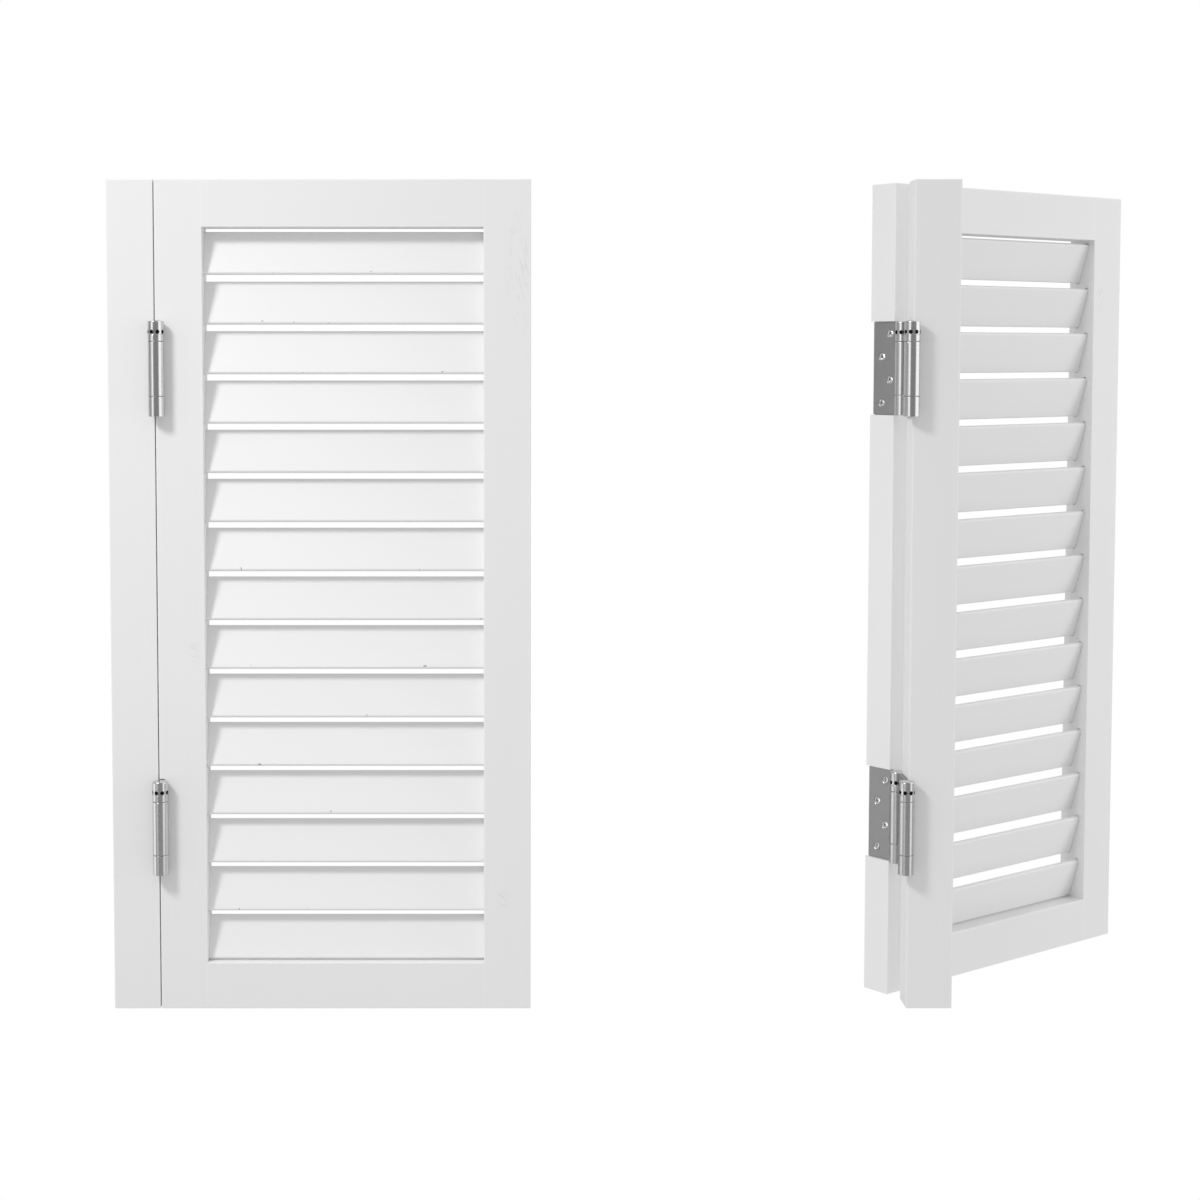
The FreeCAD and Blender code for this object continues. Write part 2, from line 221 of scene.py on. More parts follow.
def makeBarrelPlace():
    # where a point lies on a hinge: on a barrel or not, and how far round it
    tree, given, end = newTree("barrelPlace", "ShaderNodeTree",
                               {"Place": ("vector", None), "Middle": ("float", 0.457),
                                "Side": ("float", 0.4035), "Depth": ("float", 0.027),
                                "Radius": ("float", 0.0085)},
                               {"Barrel": "float", "Round": "vector"})
    at = axes(tree, given["Place"])
    inward = calc(tree, "SUBTRACT", calc(tree, "ABSOLUTE", calc(tree, "SUBTRACT", at["X"], given["Middle"])),
                  given["Side"])
    deep = calc(tree, "SUBTRACT", calc(tree, "ABSOLUTE", at["Y"]), given["Depth"])
    reach = calc(tree, "SQRT", calc(tree, "ADD", calc(tree, "MULTIPLY", inward, inward),
                                    calc(tree, "MULTIPLY", deep, deep)))
    barrel = ramp(tree, calc(tree, "DIVIDE", reach, given["Radius"]), *effects["barrelFade"], 1.0, 0.0)
    turn = calc(tree, "ARCTAN2", inward, deep)
    tree.links.new(barrel, end.inputs["Barrel"])
    tree.links.new(joinAxes(tree, turn, reach, at["Z"]), end.inputs["Round"])
    return tree


def makeHolePaintedShade():
    # 1 inside the radial holes of the collars, where shade is painted; takes the place round a barrel
    tree, given, end = newTree("holePaintedShade", "ShaderNodeTree",
                               {"Round": ("vector", None), "Upper": ("float", 0.0), "Lower": ("float", 0.0),
                                "Start": ("float", 0.008), "Radius": ("float", 0.002)}, {"Mask": "float"})
    at = axes(tree, given["Round"])
    gaps = [calc(tree, "ABSOLUTE", calc(tree, "SUBTRACT", at["Z"], given[label]))
            for label in ("Upper", "Lower")]
    level = calc(tree, "LESS_THAN", calc(tree, "MINIMUM", *gaps), given["Radius"])
    inside = ramp(tree, calc(tree, "DIVIDE", at["Y"], given["Start"]), effects["holeFade"], 1.0, 1.0, 0.0)
    tree.links.new(calc(tree, "MULTIPLY", level, inside), end.inputs["Mask"])
    return tree


def makeBrushing():
    # fine parallel lines, drawn out along the smallest of the three scales
    tree, given, end = newTree("brushing", "ShaderNodeTree",
                               {"Place": ("vector", None), "Lines": ("vector", (1, 1, 1))},
                               {"Tone": "float", "Height": "float"})
    drawn = vectorCalc(tree, "MULTIPLY", given["Place"], given["Lines"])
    lines = noise(tree, drawn, 1.0, detail=5.0, roughness=0.7)
    tree.links.new(lines, end.inputs["Height"])
    tree.links.new(ramp(tree, lines, *effects["brushRange"], *effects["brushTone"]), end.inputs["Tone"])
    return tree


paintCoat = makePaintCoat()
arrisMask = makeArrisMask()
rubMarks = makeRubMarks()
barrelPlace = makeBarrelPlace()
holePaintedShade = makeHolePaintedShade()
brushing = makeBrushing()


def newMaterial(name, metallic=0.0):
    material = bpy.data.materials.new(name)
    material.use_nodes = True
    tree = material.node_tree
    shader = tree.nodes["Principled BSDF"]
    shader.inputs["Metallic"].default_value = metallic
    return material, tree, shader


def finishShader(tree, shader, colour, roughness, height, depth):
    bump = addNode(tree, "ShaderNodeBump", {"Height": height, "Distance": depth}).outputs[0]
    for label, value in {"Base Color": colour, "Roughness": roughness, "Normal": bump}.items():
        tree.links.new(value, shader.inputs[label])


def objectPlace(tree, matrix=None):
    place = addNode(tree, "ShaderNodeTexCoord").outputs["Object"]
    if matrix is None:
        return place
    return addNode(tree, "ShaderNodeMapping", {"Vector": place, "Location": matrix.to_translation(),
                                               "Rotation": matrix.to_euler()}).outputs[0]


def grey(tree, level):
    return addNode(tree, "ShaderNodeCombineColor", {0: level, 1: level, 2: level}).outputs[0]


def shiftTone(tree, tone, mask, change):
    # change: what the tone gains where the mask is 1, as a share of itself
    return calc(tree, "MULTIPLY", tone, calc(tree, "MULTIPLY_ADD", mask, change, 1.0))


def dress(node, material):
    for slot in node.material_slots:
        slot.material = material


# ---- satin paint on the posts, stiles and rails

sides = ("left", "right")
framePaint = {
    "level": 0.86,             # paint colour, 0 to 1
    "toneChange": 0.035,
    "glossChange": 0.16,
    "acrossStrokes": 900.0,    # brush lines a metre
    "alongStrokes": 14.0,
    "strokeDepth": 0.00003,    # metres
    "arrisReach": 0.0030,
    # painted highlight: the eased edges are painted paler than the faces
    "arrisPaintedHighlight": 0.02,         # how much paler the eased edges are
    "arrisPolish": 0.06,       # and how much less rough
    "rubDepth": 0.09,          # how much darker a rub mark is
}
rubSpots = {
    # node: place, spread and slant of each group of marks
    "left_free_stile": [((0.4405, -0.0175, 0.350), (0.020, 0.02, 0.090), 0.25),
                        ((0.4220, -0.0175, -0.332), (0.012, 0.02, 0.018), 0.9)],
    "right_free_stile": [((0.4950, 0.0175, 0.330), (0.012, 0.02, 0.030), 0.4)],
    "left_hinge_stile": [((0.0900, -0.0175, -0.060), (0.008, 0.02, 0.020), 1.2)],
}


def middleAndHalf(node):
    low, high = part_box(node)
    return (low + high) / 2, (high - low) / 2


def closedBox(node):
    # middle and half size of a right leaf's piece with the leaf closed, from its twin on the left
    middle, half = middleAndHalf(node.replace("right", "left"))
    return Vector((openingWidth - middle.x, middle.y, middle.z)), half


def paintWood(name, node, matrix=None, box=None):
    values = framePaint
    material, tree, shader = newMaterial(name)
    place = objectPlace(tree, matrix)
    across, along = values["acrossStrokes"], values["alongStrokes"]
    middle, half = box or middleAndHalf(node)
    coat = placeGroup(tree, paintCoat, {
        "Place": place, "Stroke": (along, across, across) if "rail" in node else (across, across, along),
        "Tone Change": values["toneChange"], "Gloss Change": values["glossChange"]})
    arris = placeGroup(tree, arrisMask, {"Place": place, "Centre": middle, "Half Size": half,
                                         "Reach": values["arrisReach"]})["Mask"]
    # painted highlight: the eased edges are painted paler
    tone = calc(tree, "MULTIPLY_ADD", arris, values["arrisPaintedHighlight"], coat["Tone"])
    for spot, spread, slant in rubSpots.get(node, []):
        rub = placeGroup(tree, rubMarks, {"Place": place, "Centre": spot, "Spread": spread,
                                          "Slant": slant})["Mask"]
        tone = shiftTone(tree, tone, rub, -values["rubDepth"])
    colour = grey(tree, calc(tree, "MULTIPLY", tone, values["level"]))
    roughness = calc(tree, "MULTIPLY_ADD", arris, -values["arrisPolish"], coat["Roughness"])
    finishShader(tree, shader, colour, roughness, coat["Height"], values["strokeDepth"])
    dress(nodes[node], material)


for side in sides:
    paintWood(side + "PostPaint", side + "_post")
    for piece in ("hinge_stile", "free_stile", "top_rail", "bottom_rail"):
        node = side + "_" + piece
        turnedBack = (closeLeaf, closedBox(node)) if side == "right" else ()
        paintWood(side + piece.title().replace("_", "") + "Paint", node, *turnedBack)
print("frame painted")


# ---- satin paint on the slats

slatPaint = {
    "level": 0.87,
    "toneChange": 0.03,
    "glossChange": 0.14,
    "acrossStrokes": 800.0,
    "alongStrokes": 12.0,
    "strokeDepth": 0.00003,
    "slatToSlat": 0.012,       # difference of tone between neighbours
    "strokeShift": 3.7,        # metres from one slat's strokes to the next slat's
    "edgeFront": -0.0086,      # y where the lower front edge begins
    "edgeBlend": 0.0006,
    "chipScale": 160.0,
    "chipAmount": 0.72,        # noise above this is a chip, on the front edge only
    "chipBlend": 0.02,
    "chipTone": 0.45,
    "chipRoughness": 0.3,
    "chipDepth": 3.0,          # beside the strokes
}


def paintSlats(side, matrix=None):
    values = slatPaint
    edgeFront, chipAmount = values["edgeFront"], values["chipAmount"]
    material, tree, shader = newMaterial(side + "SlatPaint")
    place = objectPlace(tree, matrix)
    across, along = values["acrossStrokes"], values["alongStrokes"]
    at = axes(tree, place)
    first, second = [sum(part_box(side + "_slat_" + number), Vector()).z / 2 for number in ("01", "02")]
    row = calc(tree, "ROUND", calc(tree, "DIVIDE", calc(tree, "SUBTRACT", at["Z"], first), second - first))
    shift = joinAxes(tree, calc(tree, "MULTIPLY", row, values["strokeShift"]), 0.0, 0.0)
    shifted = vectorCalc(tree, "ADD", place, shift)
    coat = placeGroup(tree, paintCoat, {"Place": shifted, "Stroke": (along, across, across),
                                        "Tone Change": values["toneChange"],
                                        "Gloss Change": values["glossChange"]})
    own = addNode(tree, "ShaderNodeTexWhiteNoise", {"W": row}, noise_dimensions="1D").outputs["Value"]
    tone = calc(tree, "ADD", coat["Tone"],
                calc(tree, "MULTIPLY", calc(tree, "SUBTRACT", own, 0.5), values["slatToSlat"]))
    edge = ramp(tree, at["Y"], edgeFront, edgeFront - values["edgeBlend"])
    spots = noise(tree, shifted, values["chipScale"], distortion=0.4)
    chip = calc(tree, "MULTIPLY", edge, ramp(tree, spots, chipAmount, chipAmount + values["chipBlend"]))
    tone = shiftTone(tree, tone, chip, values["chipTone"] - 1.0)
    colour = grey(tree, calc(tree, "MULTIPLY", tone, values["level"]))
    roughness = calc(tree, "MULTIPLY_ADD", chip, values["chipRoughness"], coat["Roughness"])
    height = calc(tree, "SUBTRACT", coat["Height"], calc(tree, "MULTIPLY", chip, values["chipDepth"]))
    finishShader(tree, shader, colour, roughness, height, values["strokeDepth"])
    for name, node in nodes.items():
        if name.startswith(side + "_slat_"):
            dress(node, material)


paintSlats("left")
paintSlats("right", closeLeaf)
print("slats painted")


# ---- hinge steel: turned and polished barrels, brushed plates

hingeHeights = {"Upper Hinge": 0.248, "Lower Hinge": -0.248}  # of their middles, from the doors' middle
hingeSteel = {
    "barrelLevel": 0.62,
    "barrelRoughness": 0.17,
    "barrelLines": (1.2, 300.0, 5200.0),    # round the barrel, out from its axis, along it
    "plateLevel": 0.375,
    "plateRoughness": 0.34,
    "plateLines": (4200.0, 4200.0, 45.0),
    "lineDepth": 0.000006,
    "cloudScale": 60.0,
    "cloudRoughness": 0.08,
    "holeRise": 0.0394,        # of the collar's row of holes above the hinge's middle
    "holeRadius": 0.0023,
    "holeStart": 0.0082,       # from the barrel's axis
    "holeShadeTone": 0.10,          # of the painted shade inside them
    "holeRoughness": 0.4,
}


def makeHingeSteel(name, matrix=None):
    values = hingeSteel
    material, tree, shader = newMaterial(name, metallic=1.0)
    place = objectPlace(tree, matrix)
    where = placeGroup(tree, barrelPlace, {"Place": place, "Middle": openingWidth / 2,
                                           "Side": leafPivot.x - openingWidth / 2, "Depth": leafPivot.y})
    turned = placeGroup(tree, brushing, {"Place": where["Round"], "Lines": values["barrelLines"]})
    drawn = placeGroup(tree, brushing, {"Place": place, "Lines": values["plateLines"]})

    def byPlace(onPlate, onBarrel):
        return addNode(tree, "ShaderNodeMix", {0: where["Barrel"], 2: onPlate, 3: onBarrel}).outputs[0]

    holeShade = placeGroup(tree, holePaintedShade, {
        "Round": where["Round"], "Upper": hingeHeights["Upper Hinge"] + values["holeRise"],
        "Lower": hingeHeights["Lower Hinge"] + values["holeRise"], "Start": values["holeStart"],
        "Radius": values["holeRadius"]})["Mask"]
    level = byPlace(values["plateLevel"], values["barrelLevel"])
    clean = calc(tree, "MULTIPLY", level, byPlace(drawn["Tone"], turned["Tone"]))
    # painted shade: the insides of the collar holes are painted dark
    colour = grey(tree, shiftTone(tree, clean, holeShade, values["holeShadeTone"] - 1.0))
    polish = byPlace(values["plateRoughness"], values["barrelRoughness"])
    base = calc(tree, "MULTIPLY_ADD", holeShade, values["holeRoughness"], polish)
    cloud = noise(tree, place, values["cloudScale"], detail=3.0)
    roughness = calc(tree, "MULTIPLY_ADD", cloud, values["cloudRoughness"], base)
    height = byPlace(drawn["Height"], turned["Height"])
    finishShader(tree, shader, colour, roughness, height, values["lineDepth"])
    return material


steel = makeHingeSteel("hingeSteel")
for side in sides:
    for piece in ("hinge_post_plates", "hinge_middle_plates", "hinge_collars"):
        dress(nodes[side + "_" + piece], steel)
dress(nodes["left_hinge_leaf_plates"], steel)
dress(nodes["right_hinge_leaf_plates"], makeHingeSteel("hingeSteelOpenLeaf", closeLeaf))


# ---- the pieces inside the barrels, and the screws

smallSurface = {
    "cloudScale": 140.0,
    "cloudRoughness": 0.12,    # from smoothest to roughest
    "lineDepth": 0.000008,
}
smallFinishes = {
    # name: level, metallic, roughness, line scales
    "spindleSteel": (0.50, 1.0, 0.30, (900.0, 900.0, 5000.0)),
    "springWire": (0.30, 1.0, 0.36, (1500.0, 1500.0, 1500.0)),
    "bushNylon": (0.16, 0.0, 0.50, (1200.0, 1200.0, 1200.0)),
    "screwSteel": (0.86, 1.0, 0.17, (2500.0, 2500.0, 2500.0)),
    # painted shade for the insides of the screws' cross recesses
    "recessPaintedShade": (0.07, 0.0, 0.70, (2500.0, 2500.0, 2500.0)),
}


def makeSmallFinish(name):
    values = smallSurface
    level, metallic, roughness, lines = smallFinishes[name]
    material, tree, shader = newMaterial(name, metallic)
    place = objectPlace(tree)
    marks = placeGroup(tree, brushing, {"Place": place, "Lines": lines})
    colour = grey(tree, calc(tree, "MULTIPLY", marks["Tone"], level))
    change = values["cloudRoughness"]
    cloud = noise(tree, place, values["cloudScale"], detail=3.0)
    cloudy = calc(tree, "MULTIPLY_ADD", cloud, change, roughness - change / 2)
    finishShader(tree, shader, colour, cloudy, marks["Height"], values["lineDepth"])
    return material


finishes = {name: makeSmallFinish(name) for name in smallFinishes}
for side in sides:
    for piece in ("hinge_spindles", "hinge_plugs"):
        dress(nodes[side + "_" + piece], finishes["spindleSteel"])
    dress(nodes[side + "_hinge_bushes"], finishes["bushNylon"])
print("steel and nylon finished")


# ---- geometry trees

def runTree(name, tree, inputs, body, replaced):
    # one plain mesh from a tree, riding on one body
    holder = bpy.data.objects.new(name + "Holder", bpy.data.meshes.new(name + "Holder"))
    bpy.context.scene.collection.objects.link(holder)
    modifier = holder.modifiers.new("shape", "NODES")
    modifier.node_group = tree
    identifiers = {item.name: item.identifier for item in tree.interface.items_tree if item.in_out == "INPUT"}
    for label, value in inputs.items():
        modifier[identifiers[label]] = value
    bpy.context.view_layer.update()
    evaluated = holder.evaluated_get(bpy.context.evaluated_depsgraph_get())
    mesh = bpy.data.meshes.new_from_object(evaluated)
    bpy.data.objects.remove(holder)
    piece = bpy.data.objects.new(name, mesh)
    bpy.context.scene.collection.objects.link(piece)
    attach(piece, body)
    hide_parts(replaced)
    print(name, len(mesh.polygons), "faces")


def moved(tree, geometry, **parts):
    inputs = {"Geometry": geometry, **{name.title(): value for name, value in parts.items()}}
    return addNode(tree, "GeometryNodeTransform", inputs).outputs[0]


def joined(tree, *parts):
    node = addNode(tree, "GeometryNodeJoinGeometry")
    for part in reversed(parts):
        tree.links.new(part, node.inputs[0])
    return node.outputs[0]


screwValues = {
    "Head Radius": 0.0039,
    "Head Depth": 0.0014,
    "Dome": 0.0009,
    "Sink": 0.0005,            # of the head's rim below the plate's face
    "Shank Radius": 0.0015,
    "Length": 0.0219,
    "Point Length": 0.0040,
    "Thread Pitch": 0.0018,
    "Thread Height": 0.0005,
    "Recess Length": 0.0048,
    "Recess Width": 0.0011,
    "Recess Depth": 0.0012,
    "Spacing": 0.0254,
    "Row Shift": 0.0018,       # from the plate's middle towards its barrel
    "Stagger": 0.0058,         # to either side of the row's middle
    "Largest Lean": math.radians(4.5),
}
screwCount = 4  # in each outer plate
screwMesh = {
    "headSides": 28,
    "headRings": 4,
    "headFace": 0.99,          # share of the head's depth above which a point is on its face
    "recessTop": 0.72,         # half diagonals of a bar of the recess, whose length and width count as 1
    "recessFoot": 0.42,
    "recessFloor": 0.98,       # share of the recess's depth at which its floor lies
    "insideReach": 0.52,       # faces of the recess: nearer to the axis than this share of its length,
    "insideTop": 0.00005,      # lower than this below the rim,
    "insideFloor": 0.92,       # and higher than this share of the head's depth
    "neck": 0.95,              # share of the head's depth at which the shank starts
    "shankSides": 14,
    "threadStart": 2.0,        # in head depths below the rim
    "tipRadius": 0.0002,
    "ridgeSides": 3,
}


def makeScrewTree():
    form = screwMesh
    inputs = {label: ("float", value) for label, value in screwValues.items()}
    inputs.update({"Head Face": ("float", 0.0), "Facing": ("float", 0.0), "Barrel Side": ("float", 1.0),
                   "Upper Hinge": ("float", 0.0), "Lower Hinge": ("float", 0.0), "Count": ("int", screwCount),
                   "Seed": ("int", 1), "Turn": ("vector", (0, 0, 0)), "Shift": ("vector", (0, 0, 0)),
                   "Finish": ("material", None), "Recess Shade Finish": ("material", None)})
    tree, given, end = newTree("plateScrews", "GeometryNodeTree", inputs, {"Geometry": "geometry"})

    def up(z):
        return joinAxes(tree, 0.0, 0.0, z)

    def down(z):
        return up(calc(tree, "MULTIPLY", z, -1.0))

    # head: a countersunk cone with a low dome, its face at z = 0
    depth = given["Head Depth"]
    cone = addNode(tree, "GeometryNodeMeshCone", {
        "Vertices": form["headSides"], "Fill Segments": form["headRings"], "Radius Top": given["Head Radius"],
        "Radius Bottom": given["Shank Radius"], "Depth": depth})
    position = addNode(tree, "GeometryNodeInputPosition").outputs[0]
    flat = vectorCalc(tree, "LENGTH", vectorCalc(tree, "MULTIPLY", position, (1.0, 1.0, 0.0)))
    share = calc(tree, "DIVIDE", flat, given["Head Radius"])
    rise = calc(tree, "MULTIPLY", given["Dome"],
                calc(tree, "SUBTRACT", 1.0, calc(tree, "MULTIPLY", share, share)))
    faceLevel = calc(tree, "MULTIPLY", depth, form["headFace"])
    top = calc(tree, "GREATER_THAN", axes(tree, position)["Z"], faceLevel)
    domed = addNode(tree, "GeometryNodeSetPosition", {"Geometry": cone.outputs["Mesh"], "Selection": top,
                                                      "Offset": up(rise)}).outputs[0]
    head = moved(tree, domed, translation=down(depth))

    # cross recess: two tapered bars, cut out of the head
    wide = addNode(tree, "GeometryNodeMeshCone", {
        "Vertices": 4, "Radius Top": form["recessTop"], "Radius Bottom": form["recessFoot"], "Depth": 1.0})
    squared = moved(tree, wide.outputs["Mesh"], rotation=(0.0, 0.0, math.pi / 4))
    deep = calc(tree, "ADD", given["Recess Depth"], given["Dome"])
    across = moved(tree, squared, scale=joinAxes(tree, given["Recess Length"], given["Recess Width"], deep))
    floor = up(calc(tree, "MULTIPLY", given["Recess Depth"], -form["recessFloor"]))
    cut = addNode(tree, "GeometryNodeMeshBoolean", {"Mesh 1": head}, operation="DIFFERENCE", solver="EXACT")
    for turn in (0.0, math.pi / 2):
        bar = moved(tree, across, rotation=(0.0, 0.0, turn), translation=floor)
        tree.links.new(bar, cut.inputs["Mesh 2"])

    # shank, point and thread, from under the head down
    radius = given["Shank Radius"]
    shankEnd = calc(tree, "SUBTRACT", given["Length"], given["Point Length"])
    neck = calc(tree, "MULTIPLY", depth, form["neck"])
    shank = addNode(tree, "GeometryNodeMeshCylinder", {
        "Vertices": form["shankSides"], "Radius": radius, "Depth": calc(tree, "SUBTRACT", shankEnd, neck)})
    middle = calc(tree, "MULTIPLY", calc(tree, "ADD", shankEnd, neck), -0.5)
    shankPlaced = moved(tree, shank.outputs["Mesh"], translation=up(middle))
    point = addNode(tree, "GeometryNodeMeshCone", {
        "Vertices": form["shankSides"], "Radius Top": radius, "Radius Bottom": form["tipRadius"],
        "Depth": given["Point Length"]})
    pointPlaced = moved(tree, point.outputs["Mesh"], translation=down(given["Length"]))
    threadLength = calc(tree, "SUBTRACT", shankEnd, calc(tree, "MULTIPLY", depth, form["threadStart"]))
    spiral = addNode(tree, "GeometryNodeCurveSpiral", {
        "Resolution": form["shankSides"], "Start Radius": radius, "End Radius": radius,
        "Rotations": calc(tree, "DIVIDE", threadLength, given["Thread Pitch"]), "Height": threadLength})
    ridge = addNode(tree, "GeometryNodeCurvePrimitiveCircle", {
        "Resolution": form["ridgeSides"], "Radius": given["Thread Height"]})
    thread = addNode(tree, "GeometryNodeCurveToMesh", {
        "Curve": spiral.outputs[0], "Profile Curve": ridge.outputs[0], "Fill Caps": True})
    threadPlaced = moved(tree, thread.outputs[0], translation=down(shankEnd))
    whole = joined(tree, cut.outputs[0], shankPlaced, pointPlaced, threadPlaced)
    plain = addNode(tree, "GeometryNodeSetMaterial", {"Geometry": whole, "Material": given["Finish"]})

    # painted shade: a near-black finish on the faces inside the recess
    inside = calc(tree, "LESS_THAN", flat, calc(tree, "MULTIPLY", given["Recess Length"], form["insideReach"]))
    lowest = calc(tree, "MULTIPLY", depth, -form["insideFloor"])
    for comparison, level in (("LESS_THAN", -form["insideTop"]), ("GREATER_THAN", lowest)):
        inside = calc(tree, "MULTIPLY", inside, calc(tree, comparison, axes(tree, position)["Z"], level))
    recessShaded = addNode(tree, "GeometryNodeSetMaterial", {"Geometry": plain.outputs[0], "Selection": inside,
                                                      "Material": given["Recess Shade Finish"]}).outputs[0]
    lying = moved(tree, recessShaded, rotation=(0.0, math.pi / 2, 0.0),  # the head looks along +X
                  translation=joinAxes(tree, calc(tree, "MULTIPLY", given["Sink"], -1.0), 0.0, 0.0))

    # places: a zigzag row on each of the two hinges
    firstUp = calc(tree, "MULTIPLY", given["Spacing"],
                   calc(tree, "MULTIPLY", calc(tree, "SUBTRACT", given["Count"], 1.0), 0.5))
    row = addNode(tree, "GeometryNodeMeshLine", {
        "Count": given["Count"], "Start Location": joinAxes(tree, given["Head Face"], 0.0, firstUp),
        "Offset": down(given["Spacing"])}, mode="OFFSET")
    index = addNode(tree, "GeometryNodeInputIndex").outputs[0]
    odd = calc(tree, "MODULO", index, 2.0)
    zig = calc(tree, "MULTIPLY", given["Stagger"], calc(tree, "MULTIPLY_ADD", odd, -2.0, 1.0))
    swing = calc(tree, "MULTIPLY", given["Barrel Side"], calc(tree, "ADD", given["Row Shift"], zig))
    zigzag = addNode(tree, "GeometryNodeSetPosition", {"Geometry": row.outputs[0],
                                                       "Offset": joinAxes(tree, 0.0, swing, 0.0)}).outputs[0]
    rows = joined(tree, moved(tree, zigzag, translation=up(given["Upper Hinge"])),
                  moved(tree, zigzag, translation=up(given["Lower Hinge"])))
    spin = addNode(tree, "FunctionNodeRandomValue", {"Min": 0.0, "Max": math.pi / 2, "Seed": given["Seed"]},
                   data_type="FLOAT")
    leans = []
    for seedShift in (7.0, 19.0):
        lean = addNode(tree, "FunctionNodeRandomValue", {
            "Min": calc(tree, "MULTIPLY", given["Largest Lean"], -1.0), "Max": given["Largest Lean"],
            "Seed": calc(tree, "ADD", given["Seed"], seedShift)}, data_type="FLOAT")
        leans.append(lean.outputs["Value"])
    angles = joinAxes(tree, spin.outputs["Value"], leans[0], calc(tree, "ADD", given["Facing"], leans[1]))
    placed = addNode(tree, "GeometryNodeInstanceOnPoints", {
        "Points": rows, "Instance": lying,
        "Rotation": addNode(tree, "FunctionNodeEulerToRotation", {0: angles}).outputs[0]}).outputs[0]
    real = addNode(tree, "GeometryNodeRealizeInstances", {"Geometry": placed}).outputs[0]
    home = moved(tree, real, rotation=given["Turn"], translation=given["Shift"])
    tree.links.new(home, end.inputs[0])
    return tree


postPlateFace = 0.052          # x of the plates' bare faces in the left unit
leafPlateFace = 0.055
firstSeed = 3
screwTree = makeScrewTree()
screwRows = [
    # name, body, replaced node, face of the plate, facing, side of the barrel, place
    ("left_post_screws", "posts", "left_post_plate_screws", postPlateFace, 0.0, 1.0, Matrix()),
    ("right_post_screws", "posts", "right_post_plate_screws", postPlateFace, 0.0, 1.0, halfRound),
    ("left_leaf_screws", "left_leaf", "left_leaf_plate_screws", leafPlateFace, math.pi, -1.0, Matrix()),
    ("right_leaf_screws", "right_leaf", "right_leaf_plate_screws", leafPlateFace, math.pi, -1.0,
     openLeaf @ halfRound),
]
for seed, (name, body, replaced, headFace, facing, barrelSide, place) in enumerate(screwRows, firstSeed):
    values = {**screwValues, **hingeHeights, "Head Face": headFace, "Facing": facing, "Barrel Side": barrelSide,
              "Seed": seed, "Turn": tuple(place.to_euler()), "Shift": tuple(place.to_translation()),
              "Finish": finishes["screwSteel"], "Recess Shade Finish": finishes["recessPaintedShade"]}
    runTree(name, screwTree, values, body, replaced)


coilValues = {
    "Wire Radius": 0.0009,
    "Coil Radius": 0.0052,
    "Foot": -0.0211,           # middle of the lowest turn, from the hinge's middle height
    "Top": 0.0211,
    "Turns": 14.0,
    "End Closing": 0.4,        # how much closer the turns lie at both ends
}
coilPoints = 300
wireSides = 10
fullTurn = 2 * math.pi


def makeCoilTree():
    inputs = {label: ("float", value) for label, value in coilValues.items()}
    inputs.update({"Barrel X": ("float", 0.0), "Barrel Y": ("float", 0.0), "Upper Hinge": ("float", 0.0),
                   "Lower Hinge": ("float", 0.0), "Points": ("int", coilPoints), "Finish": ("material", None)})
    tree, given, end = newTree("hingeCoils", "GeometryNodeTree", inputs, {"Geometry": "geometry"})
    line = addNode(tree, "GeometryNodeMeshLine", {"Count": given["Points"]}, mode="OFFSET")
    share = calc(tree, "DIVIDE", addNode(tree, "GeometryNodeInputIndex").outputs[0],
                 calc(tree, "SUBTRACT", given["Points"], 1.0))
    turn = calc(tree, "MULTIPLY", calc(tree, "MULTIPLY", share, given["Turns"]), fullTurn)
    wave = calc(tree, "DIVIDE", calc(tree, "SINE", calc(tree, "MULTIPLY", share, fullTurn)), fullTurn)
    climb = calc(tree, "SUBTRACT", share, calc(tree, "MULTIPLY", wave, given["End Closing"]))
    rise = calc(tree, "SUBTRACT", given["Top"], given["Foot"])
    height = calc(tree, "MULTIPLY_ADD", climb, rise, given["Foot"])
    x = calc(tree, "MULTIPLY", calc(tree, "COSINE", turn), given["Coil Radius"])
    y = calc(tree, "MULTIPLY", calc(tree, "SINE", turn), given["Coil Radius"])
    bent = addNode(tree, "GeometryNodeSetPosition", {"Geometry": line.outputs[0],
                                                     "Position": joinAxes(tree, x, y, height)}).outputs[0]
    path = addNode(tree, "GeometryNodeMeshToCurve", {"Mesh": bent}).outputs[0]
    wire = addNode(tree, "GeometryNodeCurvePrimitiveCircle", {
        "Resolution": wireSides, "Radius": given["Wire Radius"]})
    coil = addNode(tree, "GeometryNodeCurveToMesh", {"Curve": path, "Profile Curve": wire.outputs[0],
                                                     "Fill Caps": True}).outputs[0]
    coils = []
    for level in ("Upper Hinge", "Lower Hinge"):
        for backOrFront in (1.0, -1.0):
            barrelY = calc(tree, "MULTIPLY", given["Barrel Y"], backOrFront)
            place = joinAxes(tree, given["Barrel X"], barrelY, given[level])
            coils.append(moved(tree, coil, translation=place))
    smooth = addNode(tree, "GeometryNodeSetShadeSmooth", {"Geometry": joined(tree, *coils)}).outputs[0]
    done = addNode(tree, "GeometryNodeSetMaterial", {"Geometry": smooth, "Material": given["Finish"]})
    tree.links.new(done.outputs[0], end.inputs[0])
    return tree


coilTree = makeCoilTree()
for side, barrelX in (("left", openingWidth - leafPivot.x), ("right", leafPivot.x)):
    values = {**coilValues, **hingeHeights, "Barrel X": barrelX, "Barrel Y": leafPivot.y,
              "Points": coilPoints, "Finish": finishes["springWire"]}
    runTree(side + "_hinge_coils", coilTree, values, side + "_hinge_links",
            side + "_hinge_springs")


# ---- floor, light and camera

